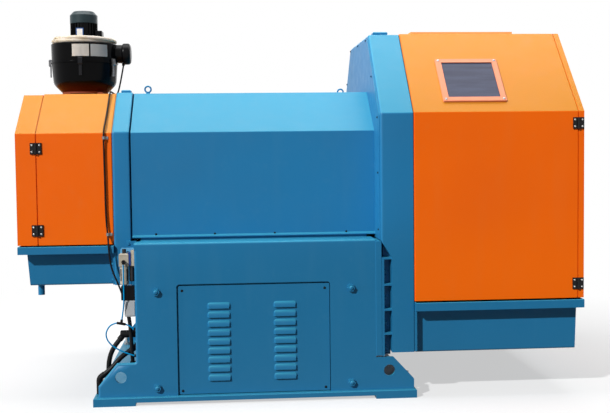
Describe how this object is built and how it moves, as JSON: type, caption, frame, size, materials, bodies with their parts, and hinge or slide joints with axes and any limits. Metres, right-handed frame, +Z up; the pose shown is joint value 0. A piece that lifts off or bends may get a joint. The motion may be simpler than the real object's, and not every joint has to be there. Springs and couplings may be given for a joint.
{
  "type": "interlock armoring machine",
  "caption": "Interlock armoring machine: hooded drive on a steel base between two hinged-door cabinets, with drip trays, a mist collector and air controls.",
  "frame": {"origin": "centre of the anchor hole pattern, on the floor", "axes": "+X along the line from the forming cabinet to the strip cabinet, +Y away from the operator, +Z up"},
  "size_m": [3.2, 1.816, 2.28],
  "materials": {
    "orange_paint": "semi-gloss orange enamel",
    "blue_paint": "semi-gloss mid-blue enamel",
    "black_enamel": "gloss black enamel",
    "machined_steel": "turned steel",
    "salmon_paint": "pale orange enamel",
    "clear_pane": "clear sheet over a dark inside",
    "primer_red": "dull red primer",
    "grey_green_paint": "grey-green enamel",
    "cream_hose": "cream plastic hose",
    "beige_plastic": "beige die casting",
    "grey_enclosure": "pale grey",
    "zinc_steel": "zinc-plated steel",
    "black_plastic": "black nylon and cable sheath",
    "black_conduit": "black plastic-coated flexible conduit",
    "blue_tube": "bright blue polyurethane air tube"
  },
  "bodies": {
    "machine": {"air_tube_left": "blue_tube", "air_tube_right": "blue_tube", "air_tube_supply": "blue_tube", "air_unit": "beige_plastic", "base_front_plate": "blue_paint", "base_left_end": "blue_paint", "base_rear_plate": "blue_paint", "base_right_end": "blue_paint", "base_top_plate": "blue_paint", "cable_clips": "zinc_steel", "cable_sleeve": "black_conduit", "collector_cable": "black_plastic", "collector_cowl": "grey_green_paint", "collector_drum": "black_enamel", "collector_feet": "primer_red", "collector_latches": "zinc_steel", "collector_motor": "black_enamel", "collector_outlet": "black_enamel", "collector_terminal_box": "black_enamel", "conduit_lower": "black_conduit", "conduit_upper": "black_conduit", "fittings": "black_plastic", "floor_plate": "blue_paint", "hood_cover": "blue_paint", "hose_coil": "cream_hose", "junction_box": "grey_enclosure", "left_cabinet": "orange_paint", "left_drain_pipe": "blue_paint", "left_frame": "blue_paint", "left_hinge_fixed_leaves": "black_enamel", "left_joint": "blue_paint", "left_sump": "blue_paint", "left_sump_flange": "blue_paint", "left_tray_rim": "blue_paint", "levelling_bolts": "zinc_steel", "lifting_eye_left": "blue_paint", "lifting_eye_right": "blue_paint", "main_shaft": "machined_steel", "right_cabinet": "orange_paint", "right_cabinet_lid": "orange_paint", "right_frame": "blue_paint", "right_frame_side_plate": "blue_paint", "right_hinge_fixed_leaves": "black_enamel", "right_joint": "blue_paint", "right_sump": "blue_paint", "right_sump_flange": "blue_paint", "right_tray_rim": "blue_paint", "tee_fitting": "black_plastic", "tie_bolts_front": "blue_paint", "tie_bolts_rear": "blue_paint", "valve_block": "black_enamel", "vent_panel_front": "blue_paint", "vent_panel_rear": "blue_paint", "window_frame": "salmon_paint", "window_pane": "clear_pane"},
    "left_door": {"left_end_door": "orange_paint", "left_hinge_moving_leaves": "black_enamel"},
    "right_door": {"right_end_door": "orange_paint", "right_hinge_moving_leaves": "black_enamel"}
  },
  "joints": [
    {"name": "left_end_door_hinge", "type": "hinge", "parent": "machine", "child": "left_door", "pos_m": [-1.218, -0.675, 1.1965], "axis": [0, 0, 1], "range_deg": [0, 110]},
    {"name": "right_end_door_hinge", "type": "hinge", "parent": "machine", "child": "right_door", "pos_m": [1.834, -0.886, 1.0845], "axis": [0, 0, -1], "range_deg": [0, 110]}
  ]
}
